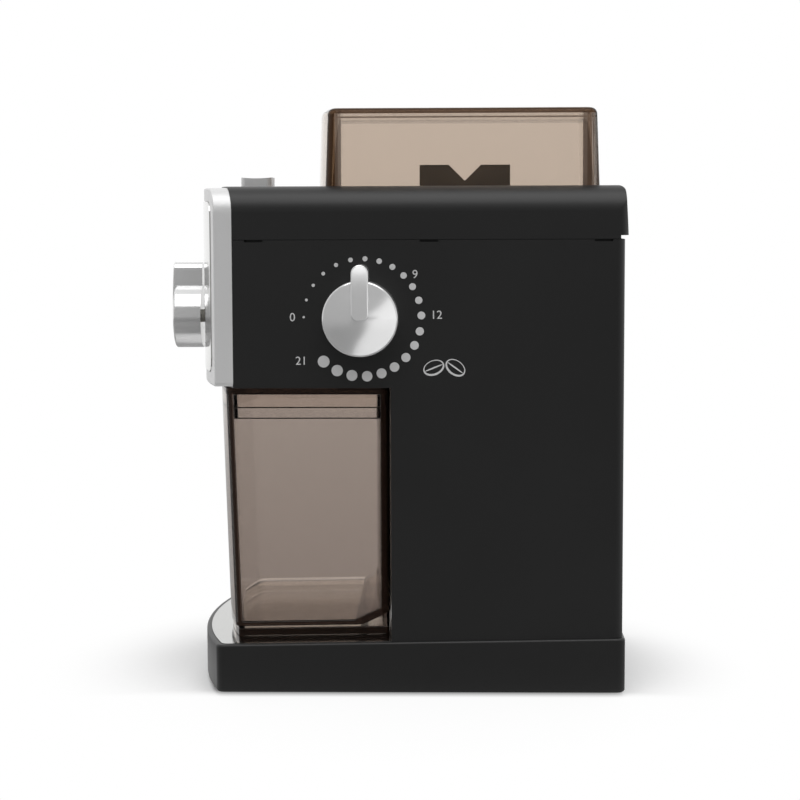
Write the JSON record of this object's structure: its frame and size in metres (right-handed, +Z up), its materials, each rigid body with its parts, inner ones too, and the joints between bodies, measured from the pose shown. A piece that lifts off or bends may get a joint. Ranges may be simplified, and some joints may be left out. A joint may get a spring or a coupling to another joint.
{
  "type": "burr coffee grinder",
  "caption": "Table-top burr coffee grinder with lift-off bean hopper lid, pull-out grounds container, geared grind dial, dose knob and start button.",
  "frame": {"origin": "middle of the footprint, on the floor under the feet", "axes": "+Z up, front with the dose knob towards -Y, grind dial on the +X side"},
  "size_m": [0.1464, 0.2074, 0.26],
  "materials": {
    "black_body": "matt black",
    "bezel_silver": "satin",
    "polished_steel": "polished",
    "satin_chrome": "satin chrome plated",
    "smoked_clear": "clear, smoked",
    "dark_plastic": "moulded",
    "gear_plastic": "moulded",
    "hard_steel": "ground",
    "plain_steel": "zinc plated",
    "sintered_brass": "sintered",
    "black_rubber": "matt",
    "motor_iron": "laminated",
    "circuit_board": "lacquered"
  },
  "bodies": {
    "stand": {"base_shell": "black_body", "base_plate": "dark_plastic", "rubber_feet": "black_rubber", "base_screws": "plain_steel", "housing_screws": "plain_steel", "deck_plate": "polished_steel", "cord_grommet": "black_rubber", "main_housing": "black_body", "top_cover": "black_body", "front_bezel": "bezel_silver", "front_plate": "polished_steel", "bean_hopper": "dark_plastic", "grind_chamber": "dark_plastic", "chamber_screws": "plain_steel", "grounds_chute": "dark_plastic", "shaft_bushes": "sintered_brass", "rack_guide": "dark_plastic", "dial_bush": "sintered_brass", "chassis_plate": "plain_steel", "chassis_screws": "plain_steel", "motor_mounts": "black_rubber", "motor_can": "plain_steel", "motor_end_cap": "dark_plastic", "motor_bushes": "sintered_brass", "motor_magnets": "motor_iron", "timer_module": "dark_plastic", "start_switch": "dark_plastic", "control_board": "circuit_board", "board_screws": "plain_steel", "button_spring": "plain_steel"},
    "lid": {"hopper_lid": "smoked_clear"},
    "container": {"grounds_container": "smoked_clear", "container_lid": "smoked_clear"},
    "dial": {"grind_dial": "satin_chrome", "dial_shaft": "gear_plastic"},
    "rack": {"adjust_rack": "gear_plastic"},
    "ring": {"adjust_ring": "dark_plastic"},
    "carrier": {"burr_carrier": "dark_plastic", "upper_burr": "hard_steel", "upper_burr_screws": "plain_steel"},
    "burr_drive": {"burr_shaft": "plain_steel", "sweeper": "dark_plastic", "lower_burr": "hard_steel", "burr_nut": "hard_steel", "drive_gear": "gear_plastic"},
    "motor_drive": {"motor_shaft": "plain_steel", "armature": "motor_iron", "cooling_fan": "dark_plastic", "motor_pinion": "gear_plastic"},
    "knob": {"cup_knob": "satin_chrome", "timer_shaft": "plain_steel"},
    "button": {"start_button": "satin_chrome"}
  },
  "joints": [
    {"name": "dial_turn", "type": "hinge", "parent": "stand", "child": "dial", "pos_m": [0.0582, -0.0128, 0.1687], "axis": [1, 0, 0], "range_deg": [-221.4, 89.6]},
    {"name": "rack_slide", "type": "slide", "parent": "stand", "child": "rack", "axis": [0, 1, 0], "range_m": [-0.00938, 0.02318]},
    {"name": "ring_turn", "type": "hinge", "parent": "stand", "child": "ring", "pos_m": [-0.0072, 0.033, 0.184], "axis": [0, 0, 1], "range_deg": [-11.8, 29]},
    {"name": "carrier_lift", "type": "slide", "parent": "ring", "child": "carrier", "axis": [0, 0, 1], "range_m": [-0.0004, 0.00098], "stiffness_N_per_m": 20, "springref_m": 0.0471},
    {"name": "burr_spin", "type": "hinge", "parent": "stand", "child": "burr_drive", "pos_m": [-0.0072, 0.033, 0.134], "axis": [0, 0, 1], "continuous": true},
    {"name": "motor_spin", "type": "hinge", "parent": "stand", "child": "motor_drive", "pos_m": [-0.0072, 0.066, 0.134], "axis": [0, 0, 1], "continuous": true},
    {"name": "knob_turn", "type": "hinge", "parent": "stand", "child": "knob", "pos_m": [-0.0072, -0.08945, 0.16615], "axis": [0, -1, 0], "range_deg": [-135, 135]},
    {"name": "button_press", "type": "slide", "parent": "stand", "child": "button", "axis": [0, 0, -1], "range_m": [0, 0.0024], "stiffness_N_per_m": 400, "springref_m": -0.002, "deforming": ["button_spring"]},
    {"name": "lid_lift", "type": "slide", "parent": "stand", "child": "lid", "axis": [0, 0, 1], "range_m": [0, 0.06]},
    {"name": "container_slide", "type": "slide", "parent": "stand", "child": "container", "axis": [0, -0.9999, -0.0171], "range_m": [0, 0.09]}
  ],
  "couplings": [
    {"joint": "dial_turn", "follows": "rack_slide", "rad_per_m": -166.67},
    {"joint": "ring_turn", "follows": "rack_slide", "rad_per_m": 21.739},
    {"joint": "carrier_lift", "follows": "rack_slide", "ratio": 0.0415},
    {"joint": "motor_spin", "follows": "burr_spin", "ratio": -4.5}
  ]
}
